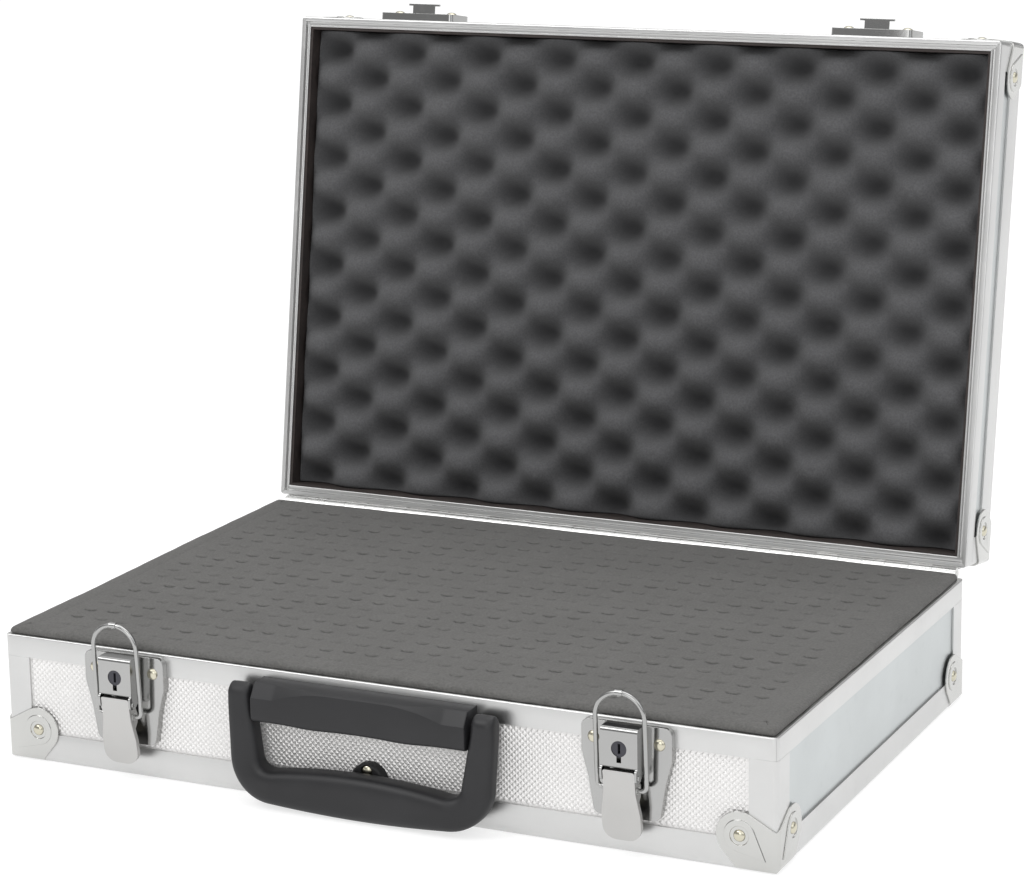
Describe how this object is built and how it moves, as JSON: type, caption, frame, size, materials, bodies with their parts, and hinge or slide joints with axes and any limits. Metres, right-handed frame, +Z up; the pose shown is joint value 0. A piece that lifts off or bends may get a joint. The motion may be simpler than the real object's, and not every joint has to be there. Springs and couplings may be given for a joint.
{
  "type": "laptop hard case",
  "caption": "Aluminium-framed hard case for a laptop, with a hinged lid standing open, key-locking draw latches, a folding handle and foam in base and lid.",
  "frame": {"origin": "centre of the base's underside, on the surface that the case stands on", "axes": "+X along the width to the right of someone facing the latches, +Y from the latches to the hinge, +Z up"},
  "size_m": [0.4544, 0.4174, 0.38],
  "materials": {
    "panel_facing": "fine diamond embossed, satin",
    "side_facing": "smooth satin",
    "frame_aluminium": "satin anodised",
    "guard_steel": "satin nickel",
    "rivet_brass": "dulled",
    "lining_board": "smooth hardboard",
    "foam_grey": "open cell foam",
    "foam_dark": "open cell foam",
    "hinge_steel": "bright",
    "handle_plastic": "fine grain",
    "bumper_rubber": "matt",
    "latch_chrome": "plated",
    "pin_steel": "bright",
    "lock_dark": "dark"
  },
  "bodies": {
    "base": {"base_front_panel": "panel_facing", "base_back_panel": "panel_facing", "base_left_panel": "side_facing", "base_right_panel": "side_facing", "base_bottom_panel": "side_facing", "base_rim": "frame_aluminium", "base_bottom_edges": "frame_aluminium", "base_corner_posts": "frame_aluminium", "base_corner_guards": "guard_steel", "base_guard_rivets": "rivet_brass", "base_lining": "lining_board", "base_foam": "foam_grey", "hinge_base_leaf": "hinge_steel", "hinge_pin": "hinge_steel", "hinge_base_rivets": "hinge_steel", "handle_bracket": "handle_plastic", "bumper": "bumper_rubber", "bumper_rivets": "rivet_brass", "left_latch_plate": "latch_chrome", "left_lock_housing": "latch_chrome", "left_lever_pin": "pin_steel", "left_lock_carrier": "pin_steel", "left_latch_rivets": "rivet_brass", "right_latch_plate": "latch_chrome", "right_lock_housing": "latch_chrome", "right_lever_pin": "pin_steel", "right_lock_carrier": "pin_steel", "right_latch_rivets": "rivet_brass"},
    "lid": {"lid_top_panel": "side_facing", "lid_front_panel": "panel_facing", "lid_back_panel": "panel_facing", "lid_left_panel": "side_facing", "lid_right_panel": "side_facing", "lid_rim": "frame_aluminium", "lid_top_edges": "frame_aluminium", "lid_corner_posts": "frame_aluminium", "lid_corner_guards": "guard_steel", "lid_guard_rivets": "rivet_brass", "lid_lining": "lining_board", "lid_foam": "foam_dark", "hinge_lid_leaf": "hinge_steel", "hinge_lid_rivets": "hinge_steel", "left_strike": "latch_chrome", "right_strike": "latch_chrome", "strike_rivets": "rivet_brass"},
    "handle": {"handle_grip": "handle_plastic"},
    "left_lever": {"left_latch_lever": "latch_chrome", "left_bail_bushes": "pin_steel"},
    "left_bail": {"left_latch_bail": "latch_chrome"},
    "left_plug": {"left_lock_plug": "lock_dark"},
    "right_lever": {"right_latch_lever": "latch_chrome", "right_bail_bushes": "pin_steel"},
    "right_bail": {"right_latch_bail": "latch_chrome"},
    "right_plug": {"right_lock_plug": "lock_dark"}
  },
  "joints": [
    {"name": "lid_hinge", "type": "hinge", "parent": "base", "child": "lid", "pos_m": [0, 0.1543, 0.07115], "axis": [1, 0, 0], "range_deg": [0, 99.25]},
    {"name": "handle_fold", "type": "hinge", "parent": "base", "child": "handle", "pos_m": [0, -0.158, 0.058], "axis": [-1, 0, 0], "range_deg": [0, 90]},
    {"name": "left_lever_lift", "type": "hinge", "parent": "base", "child": "left_lever", "pos_m": [-0.1465, -0.1623, 0.045], "axis": [-1, 0, 0], "range_deg": [0, 95]},
    {"name": "left_bail_turn", "type": "hinge", "parent": "left_lever", "child": "left_bail", "pos_m": [-0.1465, -0.1596, 0.0375], "axis": [1, 0, 0], "range_deg": [0, 95]},
    {"name": "left_lock_turn", "type": "hinge", "parent": "base", "child": "left_plug", "pos_m": [-0.1465, -0.1632, 0.0594], "axis": [0, 1, 0], "range_deg": [0, 90]},
    {"name": "right_lever_lift", "type": "hinge", "parent": "base", "child": "right_lever", "pos_m": [0.1465, -0.1623, 0.045], "axis": [-1, 0, 0], "range_deg": [0, 95]},
    {"name": "right_bail_turn", "type": "hinge", "parent": "right_lever", "child": "right_bail", "pos_m": [0.1465, -0.1596, 0.0375], "axis": [1, 0, 0], "range_deg": [0, 95]},
    {"name": "right_lock_turn", "type": "hinge", "parent": "base", "child": "right_plug", "pos_m": [0.1465, -0.1632, 0.0594], "axis": [0, 1, 0], "range_deg": [0, 90]}
  ],
  "couplings": [
    {"joint": "left_bail_turn", "follows": "left_lever_lift", "ratio": 1},
    {"joint": "right_bail_turn", "follows": "right_lever_lift", "ratio": 1}
  ]
}
